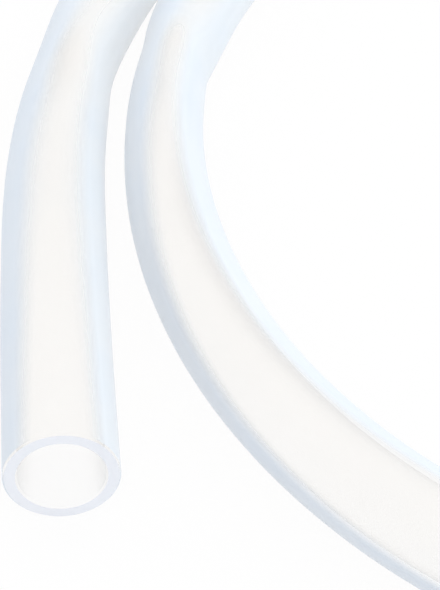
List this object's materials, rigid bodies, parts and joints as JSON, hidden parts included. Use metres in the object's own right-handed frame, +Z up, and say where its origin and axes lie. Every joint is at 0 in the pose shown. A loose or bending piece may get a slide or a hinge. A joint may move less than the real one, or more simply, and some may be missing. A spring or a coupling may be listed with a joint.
{
  "type": "silicone tubing coil",
  "caption": "Flexible translucent silicone laboratory tubing lying in a loose flat coil, with a round bore right through it and square-cut ends.",
  "frame": {"origin": "on the bench, under the middle of the coil's bounding box", "axes": "+Z up from the bench; the coil's outer cut end faces -Y"},
  "size_m": [0.2408, 0.2458, 0.016],
  "materials": {
    "clear_silicone": "translucent, smooth with a soft satin sheen"
  },
  "bodies": {
    "root": {"silicone_tubing": "clear_silicone"}
  },
  "joints": []
}
